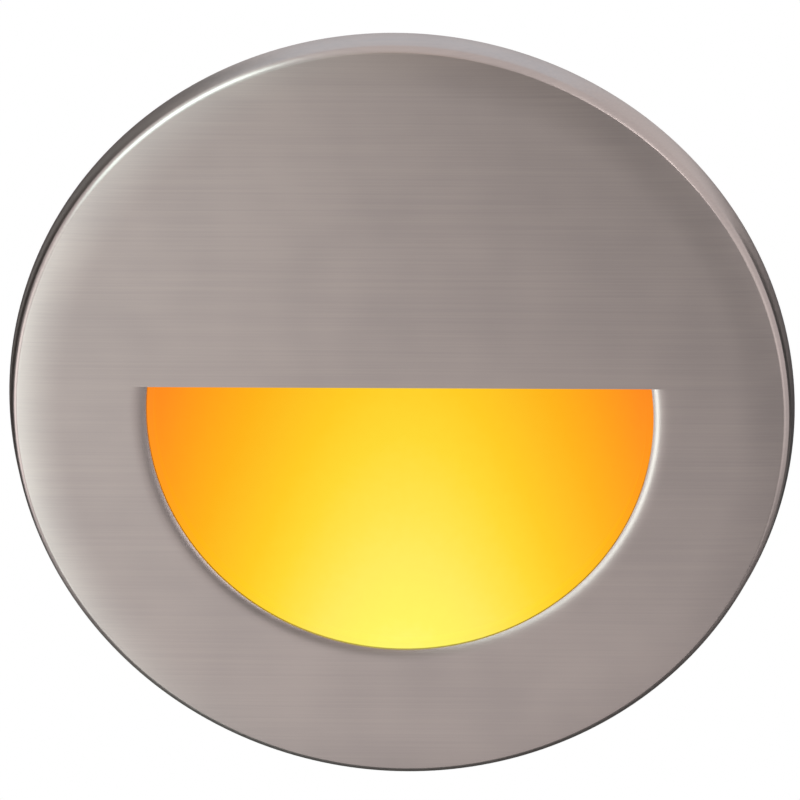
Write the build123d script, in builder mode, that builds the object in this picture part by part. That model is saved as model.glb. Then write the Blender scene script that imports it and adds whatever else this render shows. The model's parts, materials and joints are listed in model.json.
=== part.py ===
"""Round recessed step light, 127 mm across, in its wall frame.

+Z is up, the face looks along -Y and the wall plane is y = 0. The origin is the centre of the
mounting bracket's back face, on the axis of the round plate. All sizes are in millimetres.
"""

import os
from math import cos, radians, sin, sqrt, tan

from build123d import *

# Faceplate: a round cast plate whose closed upper half is an eyelid over the light source
plate_radius = 63.5
plate_depth = 5.5
skin = 2.4  # thickness of the front wall
rim_wall = 3.2
rim_draft = 0.9  # the side is this much wider at the wall than at the face
edge_fillet = 1.0
crown_width = 8.0  # the outer band of the face that rolls back
crown_drop = 0.4
opening_radius = 40.9
eyelid_height = 4.9  # straight edge of the eyelid above the plate's centre
lip_width = 1.7  # the lip rolls from the face into the opening over this width and depth
lip_depth = 0.7
lip_overcut = 1.0  # the cut starts this far inside the opening
blind_depth = 1.5  # tapped holes in the back of the skin

# Wall gasket behind the rim
gasket_thickness = 0.8
gasket_inset = 1.0

# Scoop reflector: a spherical dish with a narrow flange and a collar inside the opening
scoop_depth = 14.0
scoop_wall = 1.0
mouth_clearance = 0.2
scoop_flange_width = 1.8
scoop_flange_thickness = 1.0
collar_clearance = 0.1  # from the collar to the opening's wall and to its rounded lip

# Rear housing: a ribbed can behind the wall with a flange and four ears in front of it
flange_thickness = 1.9
flange_rim = 2.4
seat_clearance = 0.2
scoop_clearance = 0.5
housing_wall = 2.0
rib_count = 36
rib_height = 0.8
groove_width = 3.4
groove_inset = 2.5  # from the wall plane to the grooves
ear_count = 4
ear_offset = 2.0  # ear screws outside the flange's edge
ear_radius = 3.6
seal_width = 1.2
seal_depth = 0.8
boss_radius = 3.4
boss_merge = 0.5  # bosses run this far into the wall
driver_gap = 5.5  # room between the scoop and the driver board
component_space = 13.0

# Rear cover, its seal and the cable gland
cover_thickness = 2.5
cover_seal_thickness = 1.0
cover_edge_fillet = 1.0
gland_height = -16.0
gland_thread_radius = 6.0
gland_flats = 15.0
gland_hex_depth = 5.0
gland_stem_depth = 4.5
gland_nut_wall = 2.0
gland_nut_dome = 3.0
lock_nut_thickness = 3.0
cable_radius = 3.25
cable_play = 0.75  # from the cable to the gland's body and nut
grommet_wall = 1.4
grommet_length = 7.0
thread_clearance = 0.05

# Mounting bracket: steel ring that stays on the wall
bracket_thickness = 1.5
bracket_clearance = 0.6
ring_gap = 1.3  # from the ring to the rim
tab_root = 6.0
tab_relief = 1.0  # beside each gripped tab, where the ring is cut back to it
wall_slot_length = 8.0
wall_slot_width = 4.4
tab_width = 12.0
tab_gap = 2.1  # from the gripped tabs to the rim
hook_gap = 0.2  # from the top tab to the rim that hangs on it
tab_front_clearance = 0.4

# Set screws through the lower rim
set_screw_angle = 30.0  # each side of straight down
set_screw_radius = 1.25
set_screw_length = 4.5
set_screw_socket = 0.75
set_screw_socket_depth = 1.6
set_screw_clearance = 0.1  # from the screw to the back of the skin

# Light engine on the back of the eyelid
engine_tilt = 20.0
engine_setback = 1.0  # the light face starts this far behind the eyelid
engine_drop = 1.5  # lower edge of the light face above the eyelid's edge
engine_width = 9.2
engine_block = 7.0
carrier_length = 39.0
foot_thickness = 2.5
foot_height = 7.4
foot_screw_spacing = 24.0
lens_length = 30.0
lens_width = 7.4
lens_thickness = 1.5
lens_gasket_thickness = 0.5
lens_clearance = 0.15
ledge_width = 1.0
retainer_thickness = 0.8
retainer_screw_spacing = 34.4
led_board_thickness = 1.2
led_board_clearance = 0.3
led_cavity_depth = 2.8
led_pitch = 6.5
led_count = 3
led_size = 3.0
led_package_height = 0.8
led_dome_radius = 1.1
board_screw_spacing = 22.6

# Leads between the driver board and the light engine
lead_radius = 0.45
lead_spacing = 1.2
lead_column = 3.25  # beside the middle LED
lead_height = 25.5
lead_bend = 3.0
lead_hole_radius = 1.3
lead_clearance = 0.1  # from the lead hole to the carrier's foot
sleeve_radius = 2.6
sleeve_overhang = 0.4

# Driver board and what it carries
driver_board_thickness = 1.6
driver_board_clearance = 0.8
core_length = 16.0
core_width = 13.0
core_height = 11.0
core_leg = 4.0
coil_radius = 6.2
coil_height = 7.0
transformer_column = 0.0
transformer_row = 8.0
film_length = 13.0
film_width = 6.0
film_height = 10.0
film_column = -20.0
film_row = -8.0
bulk_radius = 4.0
bulk_height = 11.0
bulk_column = 20.0
bulk_row = -9.0
choke_radius = 4.5
choke_height = 8.0
choke_waist = 3.2
choke_column = 20.0
choke_row = 7.0
rectifier_length = 8.0
rectifier_width = 6.4
rectifier_height = 3.2
rectifier_column = -20.0
rectifier_row = 6.0
fuse_radius = 4.2
fuse_height = 7.5
fuse_column = -15.0
fuse_row = 19.0
chip_length = 5.0
chip_width = 4.0
chip_height = 1.5
chip_column = 12.0
chip_row = 20.0
socket_length = 5.6
socket_width = 4.0
socket_height = 4.0
terminal_pitch = 5.0
terminal_count = 3
terminal_depth = 8.0
terminal_height = 9.0
terminal_inset = 6.5  # from the driver board's edge to the terminal block
terminal_screw_radius = 1.7
terminal_screw_height = 1.2
wire_port_radius = 1.5

# Screws: shank radius, head radius and head height
m16_shank = 0.8
m16_head = 1.5
m16_head_height = 0.9
m25_shank = 1.25
m25_head = 2.3
m25_head_height = 1.3
m3_shank = 1.5
m3_head = 2.8
m3_head_height = 1.8
screw_hole_clearance = 0.15
drive_share = 0.5  # hexagon socket across its corners, over the head's radius
short_screw = 2.4
skin_screw_bite = 1.4  # screws that end in the back of the skin
board_screw_bite = 4.5
cover_screw_bite = 5.5
ground_screw_bite = 4.0
ground_boss_radius = 3.4
ground_boss_height = 3.0
ground_column = 15.0
ground_row = -24.0

# Planes and radii that the pieces share
front_y = -(gasket_thickness + plate_depth)
rim_back_y = -gasket_thickness
skin_back_y = front_y + skin
rim_inner_radius = plate_radius - rim_wall
mouth_radius = opening_radius + mouth_clearance
scoop_radius = (mouth_radius**2 + scoop_depth**2) / (2 * scoop_depth)
scoop_centre_y = skin_back_y + scoop_depth - scoop_radius
scoop_flange_back_y = skin_back_y + scoop_flange_thickness
scoop_back_y = skin_back_y + scoop_depth + scoop_wall
flange_back_y = skin_back_y + flange_thickness


def scoop_outer_radius(y):
    """Radius of the scoop's back surface at depth y."""
    return sqrt((scoop_radius + scoop_wall) ** 2 - (y - scoop_centre_y) ** 2)


def scoop_surface_y(radius, offset=0.0):
    """Depth of the scoop's inner surface, or of one offset behind it, at a radius."""
    return scoop_centre_y + sqrt((scoop_radius + offset) ** 2 - radius**2)


scoop_flange_radius = scoop_outer_radius(scoop_flange_back_y) + scoop_flange_width
seat_radius = scoop_flange_radius + seat_clearance
ledge_radius = scoop_outer_radius(scoop_flange_back_y) + scoop_clearance
bore_radius = scoop_outer_radius(flange_back_y) + scoop_clearance
housing_radius = bore_radius + housing_wall
flange_radius = seat_radius + flange_rim
ear_ring_radius = flange_radius + ear_offset
driver_board_y = scoop_back_y + driver_gap
driver_back_y = driver_board_y + driver_board_thickness
housing_back_y = driver_back_y + component_space
cover_front_y = housing_back_y + cover_seal_thickness
cover_back_y = cover_front_y + cover_thickness
boss_ring_radius = bore_radius - boss_radius + boss_merge
bracket_inner_radius = housing_radius + bracket_clearance
ring_radius = rim_inner_radius - ring_gap
wall_screw_spacing = bracket_inner_radius + ring_radius  # screws in the middle of the ring
driver_board_radius = bore_radius - driver_board_clearance
tab_distance = rim_inner_radius - tab_gap
hook_distance = sqrt((rim_inner_radius - hook_gap) ** 2 - (tab_width / 2) ** 2)
tab_front_y = skin_back_y + tab_front_clearance
set_screw_y = skin_back_y + set_screw_radius + set_screw_clearance
corner_angle = 360 / ear_count / 2


def level(y):
    """Sketch plane at depth y that looks out of the wall: local x is X and local y is Z."""
    return Plane.XZ.offset(-y)


def rear_level(y):
    """Sketch plane at depth y that looks into the wall: local x is -X and local y is Z."""
    return Plane(origin=(0, y, 0), x_dir=(-1, 0, 0), z_dir=(0, 1, 0))


def save(piece, name):
    """Labels a finished piece and writes its file."""
    piece.part.label = name
    export_step(piece.part, f"parts/{name}.step")


def screw_blank(shank_radius, length, head_radius, head_height):
    """Pan-head screw along +Z: its seat is z = 0 and the shank runs down from there."""
    with BuildPart() as blank:
        with BuildSketch(Plane.XZ):
            with BuildLine():
                Polyline(
                    (0, -length),
                    (shank_radius, -length),
                    (shank_radius, 0),
                    (head_radius, 0),
                    (head_radius, head_height * 0.4),
                )
                ThreePointArc(
                    (head_radius, head_height * 0.4),
                    (head_radius * 0.8, head_height * 0.85),
                    (head_radius * 0.4, head_height),
                )
                Polyline((head_radius * 0.4, head_height), (0, head_height), (0, -length))
            make_face()
        revolve(axis=Axis.Z)
        with BuildSketch(Plane.XY.offset(head_height)):
            RegularPolygon(head_radius * drive_share, 6)
        extrude(amount=-head_height * 0.6, mode=Mode.SUBTRACT)
    return blank.part


def face_points(radius, count, start):
    """Points evenly spaced on a circle about the axis, as (x, z) pairs."""
    angles = [radians(start + 360 / count * i) for i in range(count)]
    return [(radius * cos(a), radius * sin(a)) for a in angles]


os.makedirs("parts", exist_ok=True)

ear_points = face_points(ear_ring_radius, ear_count, corner_angle)
boss_points = face_points(boss_ring_radius, ear_count, corner_angle)
screw_angles = [-90 - set_screw_angle, -90 + set_screw_angle]

# The light engine's section, as (y, z) points, and the plane of its light face
tilt = radians(engine_tilt)
face_low = Vector(skin_back_y + engine_setback, eyelid_height + engine_drop)
face_high = face_low + Vector(cos(tilt), sin(tilt)) * engine_width
block_top = face_high + Vector(-sin(tilt), cos(tilt)) * engine_block
face_centre = (face_low + face_high) / 2
engine_face = Plane(
    origin=(0, face_centre.X, face_centre.Y), x_dir=(1, 0, 0), z_dir=(0, sin(tilt), -cos(tilt))
)
foot_back_y = skin_back_y + foot_thickness
foot_screw_height = block_top.Y + foot_height / 2
foot_screw_points = [(side * foot_screw_spacing / 2, foot_screw_height) for side in (-1, 1)]


def rim_plane(angle, distance):
    """Plane across a radius of the plate at the set screws' depth, looking outwards."""
    direction = (cos(radians(angle)), 0, sin(radians(angle)))
    origin = (distance * direction[0], set_screw_y, distance * direction[2])
    return Plane(origin=origin, x_dir=(0, 1, 0), z_dir=direction)


# What the rolled lip takes off the opening's edge, below the eyelid
with BuildPart() as lip_roll:
    with BuildSketch(Plane.XY):
        with BuildLine():
            roll = TangentArc(
                (opening_radius + lip_width, front_y),
                (opening_radius, front_y + lip_depth),
                tangent=(-1, 0),
            )
            Polyline(
                roll @ 1,
                (opening_radius - lip_overcut, front_y + lip_depth),
                (opening_radius - lip_overcut, front_y),
                roll @ 0,
            )
        make_face()
    revolve(axis=Axis.Y)
    with BuildSketch(level(skin_back_y)):
        with Locations((0, eyelid_height)):
            Rectangle(2 * plate_radius, 2 * plate_radius, align=(Align.CENTER, Align.MAX))
    extrude(amount=skin, mode=Mode.INTERSECT)

# Faceplate
with BuildPart() as faceplate:
    with BuildSketch(Plane.XY):
        with BuildLine():
            face_line = Line((0, front_y), (plate_radius - rim_draft - crown_width, front_y))
            crown = TangentArc(
                face_line @ 1,
                (plate_radius - rim_draft, front_y + crown_drop),
                tangent=(1, 0),
            )
            Polyline(
                crown @ 1,
                (plate_radius, rim_back_y),
                (rim_inner_radius, rim_back_y),
                (rim_inner_radius, skin_back_y),
                (0, skin_back_y),
                (0, front_y),
            )
        make_face()
        edge_corner = vertices().sort_by_distance((plate_radius, front_y))[0]
        fillet(edge_corner, edge_fillet)
    revolve(axis=Axis.Y)
    with BuildSketch(level(skin_back_y)):
        Circle(opening_radius)
        with Locations((0, eyelid_height)):
            Rectangle(
                2 * opening_radius,
                opening_radius,
                align=(Align.CENTER, Align.MIN),
                mode=Mode.SUBTRACT,
            )
    extrude(amount=skin, mode=Mode.SUBTRACT)
    add(lip_roll.part, mode=Mode.SUBTRACT)
    with BuildSketch(level(skin_back_y)):
        with Locations(*ear_points, *foot_screw_points):
            Circle(m25_shank)
    extrude(amount=blind_depth, mode=Mode.SUBTRACT)
    for angle in screw_angles:
        with BuildSketch(rim_plane(angle, rim_inner_radius - hook_gap)):
            Circle(set_screw_radius + thread_clearance)
        extrude(amount=2 * rim_wall, mode=Mode.SUBTRACT)
save(faceplate, "faceplate")

# Wall gasket
with BuildPart() as wall_gasket:
    with BuildSketch(level(0)):
        Circle(plate_radius - gasket_inset)
        Circle(rim_inner_radius + seat_clearance, mode=Mode.SUBTRACT)
    extrude(amount=gasket_thickness)
save(wall_gasket, "wall_gasket")

# Scoop reflector
lead_radius_from_axis = sqrt(lead_column**2 + lead_height**2)
with BuildPart() as scoop_reflector:
    inner_mid = mouth_radius / 2
    outer_edge = scoop_outer_radius(scoop_flange_back_y)
    outer_mid = outer_edge / 2
    with BuildSketch(Plane.XY):
        with BuildLine():
            ThreePointArc(
                (mouth_radius, skin_back_y),
                (inner_mid, scoop_surface_y(inner_mid)),
                (0, skin_back_y + scoop_depth),
            )
            Line((0, skin_back_y + scoop_depth), (0, scoop_back_y))
            ThreePointArc(
                (0, scoop_back_y),
                (outer_mid, scoop_surface_y(outer_mid, scoop_wall)),
                (outer_edge, scoop_flange_back_y),
            )
            Polyline(
                (outer_edge, scoop_flange_back_y),
                (scoop_flange_radius, scoop_flange_back_y),
                (scoop_flange_radius, skin_back_y),
                (mouth_radius, skin_back_y),
            )
        make_face()
    revolve(axis=Axis.Y)
    with BuildSketch(level(scoop_flange_back_y)):
        Circle(opening_radius - collar_clearance)
        Circle(opening_radius - collar_clearance - scoop_wall, mode=Mode.SUBTRACT)
        with Locations((0, eyelid_height - collar_clearance)):
            Rectangle(
                2 * opening_radius,
                opening_radius,
                align=(Align.CENTER, Align.MIN),
                mode=Mode.SUBTRACT,
            )
    extrude(amount=scoop_flange_thickness + skin - lip_depth - collar_clearance)
    with BuildSketch(level(scoop_back_y)):
        with Locations((lead_column, lead_height)):
            Circle(sleeve_radius)
    extrude(amount=scoop_depth, mode=Mode.SUBTRACT)
save(scoop_reflector, "scoop_reflector")

# Rear housing
with BuildPart() as rear_housing:
    with BuildSketch(Plane.XY):
        with BuildLine():
            Polyline(
                (seat_radius, skin_back_y),
                (flange_radius, skin_back_y),
                (flange_radius, flange_back_y),
                (housing_radius, flange_back_y),
                (housing_radius, housing_back_y),
                (bore_radius, housing_back_y),
                (bore_radius, flange_back_y),
                (ledge_radius, scoop_flange_back_y),
                (seat_radius, scoop_flange_back_y),
                (seat_radius, skin_back_y),
            )
        make_face()
    revolve(axis=Axis.Y)
    with BuildSketch(level(flange_back_y)):
        with Locations(*ear_points):
            Circle(ear_radius)
        for x, z in ear_points:
            along = Vector(x, z).normalized()
            with BuildLine():
                side = Vector(-along.Y, along.X) * ear_radius
                root = along * (flange_radius - flange_rim / 2)
                tip = Vector(x, z)
                Polyline(root - side, tip - side, tip + side, root + side, root - side)
            make_face()
    extrude(amount=flange_thickness)
    with BuildSketch(level(housing_back_y)):
        with Locations(*boss_points):
            Circle(boss_radius)
    extrude(amount=component_space)
    with BuildSketch(level(groove_inset)):
        with PolarLocations(housing_radius, rib_count):
            Rectangle(2 * rib_height, groove_width)
    extrude(amount=groove_inset - housing_back_y, mode=Mode.SUBTRACT)
    with BuildSketch(level(skin_back_y)):
        Circle(flange_radius - (flange_rim - seal_width) / 2)
        Circle(seat_radius + (flange_rim - seal_width) / 2, mode=Mode.SUBTRACT)
    extrude(amount=-seal_depth, mode=Mode.SUBTRACT)
    with Locations(rear_level(flange_back_y)):
        with Locations(*[(-x, z) for x, z in ear_points]):
            CounterSinkHole(m25_shank + screw_hole_clearance, m25_head, flange_thickness)
    with BuildSketch(level(housing_back_y)):
        with Locations(*boss_points):
            Circle(m3_shank)
    extrude(amount=component_space, mode=Mode.SUBTRACT)
save(rear_housing, "rear_housing")

# Housing seal
with BuildPart() as housing_seal:
    with BuildSketch(level(skin_back_y + seal_depth)):
        Circle(flange_radius - (flange_rim - seal_width) / 2)
        Circle(seat_radius + (flange_rim - seal_width) / 2, mode=Mode.SUBTRACT)
    extrude(amount=seal_depth)
save(housing_seal, "housing_seal")

# Housing screws: countersunk, flush with the back of the ears
housing_screw_length = flange_thickness + skin_screw_bite
with BuildPart() as countersunk:
    cone_depth = m25_head - m25_shank
    with BuildSketch(Plane.XZ):
        Polygon(
            (0, 0),
            (0, -housing_screw_length),
            (m25_shank, -housing_screw_length),
            (m25_shank, -cone_depth),
            (m25_head, 0),
            align=None,
        )
    revolve(axis=Axis.Z)
    with BuildSketch(Plane.XY):
        RegularPolygon(m25_head * drive_share, 6)
    extrude(amount=-cone_depth / 2, mode=Mode.SUBTRACT)
with BuildPart() as housing_screws:
    with Locations(rear_level(flange_back_y)):
        with Locations(*[(-x, z) for x, z in ear_points]):
            add(countersunk.part)
save(housing_screws, "housing_screws")

# Rear cover and its seal
rear_screw_hole = m3_shank + screw_hole_clearance
ground_point = (ground_column, ground_row)
with BuildPart() as cover_seal:
    with BuildSketch(level(cover_front_y)):
        Circle(housing_radius)
        Circle(bore_radius, mode=Mode.SUBTRACT)
        with Locations(*boss_points):
            Circle(boss_radius)
        with Locations(*boss_points):
            Circle(rear_screw_hole, mode=Mode.SUBTRACT)
    extrude(amount=cover_seal_thickness)
save(cover_seal, "cover_seal")

with BuildPart() as rear_cover:
    with BuildSketch(level(cover_back_y)):
        Circle(housing_radius)
    extrude(amount=cover_thickness)
    fillet(rear_cover.edges().filter_by(GeomType.CIRCLE).sort_by(Axis.Y)[-1], cover_edge_fillet)
    with BuildSketch(level(cover_front_y)):
        with Locations(ground_point):
            Circle(ground_boss_radius)
    extrude(amount=ground_boss_height)
    with BuildSketch(level(cover_front_y - ground_boss_height)):
        with Locations(ground_point):
            Circle(m3_shank)
    extrude(amount=-ground_screw_bite, mode=Mode.SUBTRACT)
    with BuildSketch(level(cover_back_y)):
        with Locations(*boss_points):
            Circle(rear_screw_hole)
        with Locations((0, gland_height)):
            Circle(gland_thread_radius + thread_clearance)
    extrude(amount=cover_thickness, mode=Mode.SUBTRACT)
save(rear_cover, "rear_cover")

cover_screw = screw_blank(
    m3_shank, cover_thickness + cover_seal_thickness + cover_screw_bite, m3_head, m3_head_height
)
with BuildPart() as cover_screws:
    with Locations(rear_level(cover_back_y)):
        with Locations(*[(-x, z) for x, z in boss_points]):
            add(cover_screw)
save(cover_screws, "cover_screws")

# Cable gland: body, lock nut inside, cap nut and rubber grommet
hex_radius = gland_flats / 2
gland_hex_back_y = cover_back_y + gland_hex_depth
gland_stem_back_y = gland_hex_back_y + gland_stem_depth
nut_front_y = gland_hex_back_y + seat_clearance
grommet_radius = cable_radius + grommet_wall
grommet_front_y = gland_stem_back_y - grommet_length / 2
grommet_back_y = grommet_front_y + grommet_length
nut_back_y = grommet_back_y + gland_nut_wall
gland_point = (0, gland_height)

with BuildPart() as gland_body:
    with BuildSketch(level(gland_stem_back_y)):
        with Locations(gland_point):
            Circle(gland_thread_radius)
    extrude(amount=gland_stem_back_y - (cover_front_y - lock_nut_thickness - lens_gasket_thickness))
    with BuildSketch(level(gland_hex_back_y)):
        with Locations(gland_point):
            RegularPolygon(hex_radius, 6, major_radius=False)
    extrude(amount=gland_hex_depth)
    with BuildSketch(level(gland_stem_back_y)):
        with Locations(gland_point):
            Circle(cable_radius + cable_play)
    extrude(amount=gland_stem_back_y, mode=Mode.SUBTRACT)
    with BuildSketch(level(gland_stem_back_y)):
        with Locations(gland_point):
            Circle(grommet_radius)
    extrude(amount=gland_stem_back_y - grommet_front_y, mode=Mode.SUBTRACT)
save(gland_body, "gland_body")

with BuildPart() as gland_lock_nut:
    with BuildSketch(level(cover_front_y)):
        with Locations(gland_point):
            RegularPolygon(hex_radius, 6, major_radius=False)
        with Locations(gland_point):
            Circle(gland_thread_radius + thread_clearance, mode=Mode.SUBTRACT)
    extrude(amount=lock_nut_thickness)
save(gland_lock_nut, "gland_lock_nut")

nut_length = nut_back_y - nut_front_y
corner_radius = hex_radius / cos(radians(30))
with BuildPart() as nut_envelope:
    with BuildSketch(Plane.XZ):
        with BuildLine():
            nut_side = Polyline(
                (0, nut_length),
                (0, 0),
                (hex_radius, 0),
                (corner_radius, (corner_radius - hex_radius) / 2),
                (corner_radius, nut_length - gland_nut_dome),
            )
            nut_dome = TangentArc(
                nut_side @ 1, (corner_radius - gland_nut_dome, nut_length), tangent=(0, 1)
            )
            Line(nut_dome @ 1, nut_side @ 0)
        make_face()
    revolve(axis=Axis.Z)
with BuildPart() as gland_nut:
    with BuildSketch(level(nut_back_y)):
        with Locations(gland_point):
            RegularPolygon(hex_radius, 6, major_radius=False)
    extrude(amount=nut_length)
    with Locations(rear_level(nut_front_y)):
        with Locations(gland_point):
            add(nut_envelope.part, mode=Mode.INTERSECT)
    with BuildSketch(level(grommet_back_y)):
        with Locations(gland_point):
            Circle(gland_thread_radius + thread_clearance)
    extrude(amount=grommet_back_y - nut_front_y, mode=Mode.SUBTRACT)
    with BuildSketch(level(nut_back_y)):
        with Locations(gland_point):
            Circle(cable_radius + cable_play)
    extrude(amount=gland_nut_wall, mode=Mode.SUBTRACT)
save(gland_nut, "gland_nut")

with BuildPart() as gland_grommet:
    with BuildSketch(level(grommet_back_y)):
        with Locations(gland_point):
            Circle(grommet_radius)
        with Locations(gland_point):
            Circle(cable_radius, mode=Mode.SUBTRACT)
    extrude(amount=grommet_length)
save(gland_grommet, "gland_grommet")

# Mounting bracket: a flat ring with two slots, and three tabs bent towards the plate
tabs = {90: hook_distance, screw_angles[0]: tab_distance, screw_angles[1]: tab_distance}
with BuildPart() as mounting_bracket:
    with BuildSketch(level(0)):
        Circle(ring_radius)
        Circle(bracket_inner_radius, mode=Mode.SUBTRACT)
        with Locations((-wall_screw_spacing / 2, 0), (wall_screw_spacing / 2, 0)):
            SlotOverall(wall_slot_length, wall_slot_width, mode=Mode.SUBTRACT)
        for angle in screw_angles:
            with PolarLocations(tab_distance, 1, start_angle=angle):
                Rectangle(
                    tab_root,
                    tab_width + 2 * tab_relief,
                    align=(Align.MIN, Align.CENTER),
                    mode=Mode.SUBTRACT,
                )
    extrude(amount=bracket_thickness)
    for angle, distance in tabs.items():
        with BuildSketch(level(0)):
            with PolarLocations(distance, 1, start_angle=angle):
                Rectangle(bracket_thickness, tab_width, align=(Align.MAX, Align.CENTER))
        extrude(amount=-tab_front_y)
        with BuildSketch(level(0)):
            with PolarLocations(distance, 1, start_angle=angle):
                Rectangle(tab_root, tab_width, align=(Align.MAX, Align.CENTER))
        extrude(amount=bracket_thickness)
save(mounting_bracket, "mounting_bracket")

# Set screws: each tip bears on a tab, the hexagon socket faces out of the rim
with BuildPart() as set_screw_blank:
    Cylinder(set_screw_radius, set_screw_length, align=(Align.CENTER, Align.CENTER, Align.MIN))
    chamfer(set_screw_blank.edges().group_by(Axis.Z)[0], set_screw_radius / 4)
    with BuildSketch(Plane.XY.offset(set_screw_length)):
        RegularPolygon(set_screw_socket, 6)
    extrude(amount=-set_screw_socket_depth, mode=Mode.SUBTRACT)
for angle, side in zip(screw_angles, ("left", "right")):
    with BuildPart() as set_screw:
        with Locations(rim_plane(angle, tab_distance)):
            add(set_screw_blank.part)
    save(set_screw, f"set_screw_{side}")

# Light engine: the carrier's light face is tilted into the scoop
rebate_depth = lens_thickness + lens_gasket_thickness
cavity_floor = rebate_depth + led_cavity_depth
cavity_width = lens_width - 2 * ledge_width
cavity_length = lens_length - 2 * ledge_width
retainer_screw_points = [(side * retainer_screw_spacing / 2, 0) for side in (-1, 1)]
board_screw_points = [(side * board_screw_spacing / 2, 0) for side in (-1, 1)]
led_points = [((i - (led_count - 1) / 2) * led_pitch, 0) for i in range(led_count)]
board_seat = engine_face.offset(-cavity_floor)
board_top = board_seat.offset(led_board_thickness)
package_top = board_top.offset(led_package_height)
lead_drop_y = foot_back_y + lead_hole_radius + lead_clearance
lead_end = board_top.origin.Z + (lead_drop_y - board_top.origin.Y) * tan(tilt)
lead_hole_plane = Plane.XY.offset(block_top.Y)
lead_hole_depth = block_top.Y - lead_end + lead_hole_radius

with BuildPart() as engine_carrier:
    with BuildSketch(Plane.YZ):
        Polygon(
            (skin_back_y, face_low.Y),
            (face_low.X, face_low.Y),
            (face_high.X, face_high.Y),
            (block_top.X, block_top.Y),
            (foot_back_y, block_top.Y),
            (foot_back_y, block_top.Y + foot_height),
            (skin_back_y, block_top.Y + foot_height),
            align=None,
        )
    extrude(amount=carrier_length / 2, both=True)
    with BuildSketch(engine_face):
        Rectangle(lens_length + 2 * lens_clearance, lens_width + 2 * lens_clearance)
    extrude(amount=-rebate_depth, mode=Mode.SUBTRACT)
    with BuildSketch(engine_face):
        Rectangle(cavity_length, cavity_width)
    extrude(amount=-cavity_floor, mode=Mode.SUBTRACT)
    with BuildSketch(engine_face):
        with Locations(*retainer_screw_points):
            Circle(m16_shank)
        with Locations(*board_screw_points):
            Circle(m16_shank)
    extrude(amount=-(cavity_floor + led_board_thickness), mode=Mode.SUBTRACT)
    with BuildSketch(level(foot_back_y)):
        with Locations(*foot_screw_points):
            Circle(m25_shank + screw_hole_clearance)
    extrude(amount=foot_thickness, mode=Mode.SUBTRACT)
    with BuildSketch(lead_hole_plane):
        with Locations((lead_column, lead_drop_y)):
            Circle(lead_hole_radius)
    extrude(amount=-lead_hole_depth, mode=Mode.SUBTRACT)
save(engine_carrier, "engine_carrier")

carrier_screw = screw_blank(m25_shank, foot_thickness + skin_screw_bite, m25_head, m25_head_height)
with BuildPart() as carrier_screws:
    with Locations(rear_level(foot_back_y)):
        with Locations(*foot_screw_points):
            add(carrier_screw)
save(carrier_screws, "carrier_screws")

# LED board, its packages and domes
with BuildPart() as led_board:
    with BuildSketch(board_seat):
        Rectangle(cavity_length - 2 * led_board_clearance, cavity_width - 2 * led_board_clearance)
        with Locations(*board_screw_points):
            Circle(m16_shank + screw_hole_clearance, mode=Mode.SUBTRACT)
    extrude(amount=led_board_thickness)
    with BuildSketch(lead_hole_plane):
        with Locations((lead_column, lead_drop_y)):
            Circle(lead_hole_radius)
    extrude(amount=-lead_hole_depth, mode=Mode.SUBTRACT)
save(led_board, "led_board")

with BuildPart() as led_packages:
    with BuildSketch(board_top):
        with Locations(*led_points):
            RectangleRounded(led_size, led_size, led_size / 10)
    extrude(amount=led_package_height)
save(led_packages, "led_packages")

with BuildPart() as dome:
    Sphere(led_dome_radius, arc_size1=0, align=(Align.CENTER, Align.CENTER, Align.MIN))
with BuildPart() as led_domes:
    with Locations(package_top):
        with Locations(*led_points):
            add(dome.part)
save(led_domes, "led_domes")

board_screw = screw_blank(m16_shank, short_screw, m16_head, m16_head_height)
with BuildPart() as led_board_screws:
    with Locations(board_top):
        with Locations(*board_screw_points):
            add(board_screw)
save(led_board_screws, "led_board_screws")

# Lens, its gasket and the retainer frame
with BuildPart() as lens_gasket:
    with BuildSketch(engine_face.offset(-rebate_depth)):
        Rectangle(lens_length, lens_width)
        Rectangle(cavity_length, cavity_width, mode=Mode.SUBTRACT)
    extrude(amount=lens_gasket_thickness)
save(lens_gasket, "lens_gasket")

with BuildPart() as engine_lens:
    with BuildSketch(engine_face.offset(-lens_thickness)):
        RectangleRounded(lens_length, lens_width, ledge_width / 2)
    extrude(amount=lens_thickness)
save(engine_lens, "engine_lens")

with BuildPart() as lens_retainer:
    with BuildSketch(engine_face):
        RectangleRounded(carrier_length, engine_width, ledge_width)
        RectangleRounded(cavity_length, cavity_width, ledge_width, mode=Mode.SUBTRACT)
        with Locations(*retainer_screw_points):
            Circle(m16_shank + screw_hole_clearance, mode=Mode.SUBTRACT)
    extrude(amount=retainer_thickness)
save(lens_retainer, "lens_retainer")

retainer_screw = screw_blank(m16_shank, retainer_thickness + short_screw, m16_head, m16_head_height)
with BuildPart() as retainer_screws:
    with Locations(engine_face.offset(retainer_thickness)):
        with Locations(*retainer_screw_points):
            add(retainer_screw)
save(retainer_screws, "retainer_screws")

# Driver board on the housing's bosses
with BuildPart() as driver_board:
    with BuildSketch(level(driver_back_y)):
        Circle(driver_board_radius)
        with Locations(*boss_points):
            Circle(rear_screw_hole, mode=Mode.SUBTRACT)
    extrude(amount=driver_board_thickness)
save(driver_board, "driver_board")

driver_screw = screw_blank(
    m3_shank, driver_board_thickness + board_screw_bite, m3_head, m3_head_height
)
with BuildPart() as driver_board_screws:
    with Locations(level(driver_board_y)):
        with Locations(*boss_points):
            add(driver_screw)
save(driver_board_screws, "driver_board_screws")

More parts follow.
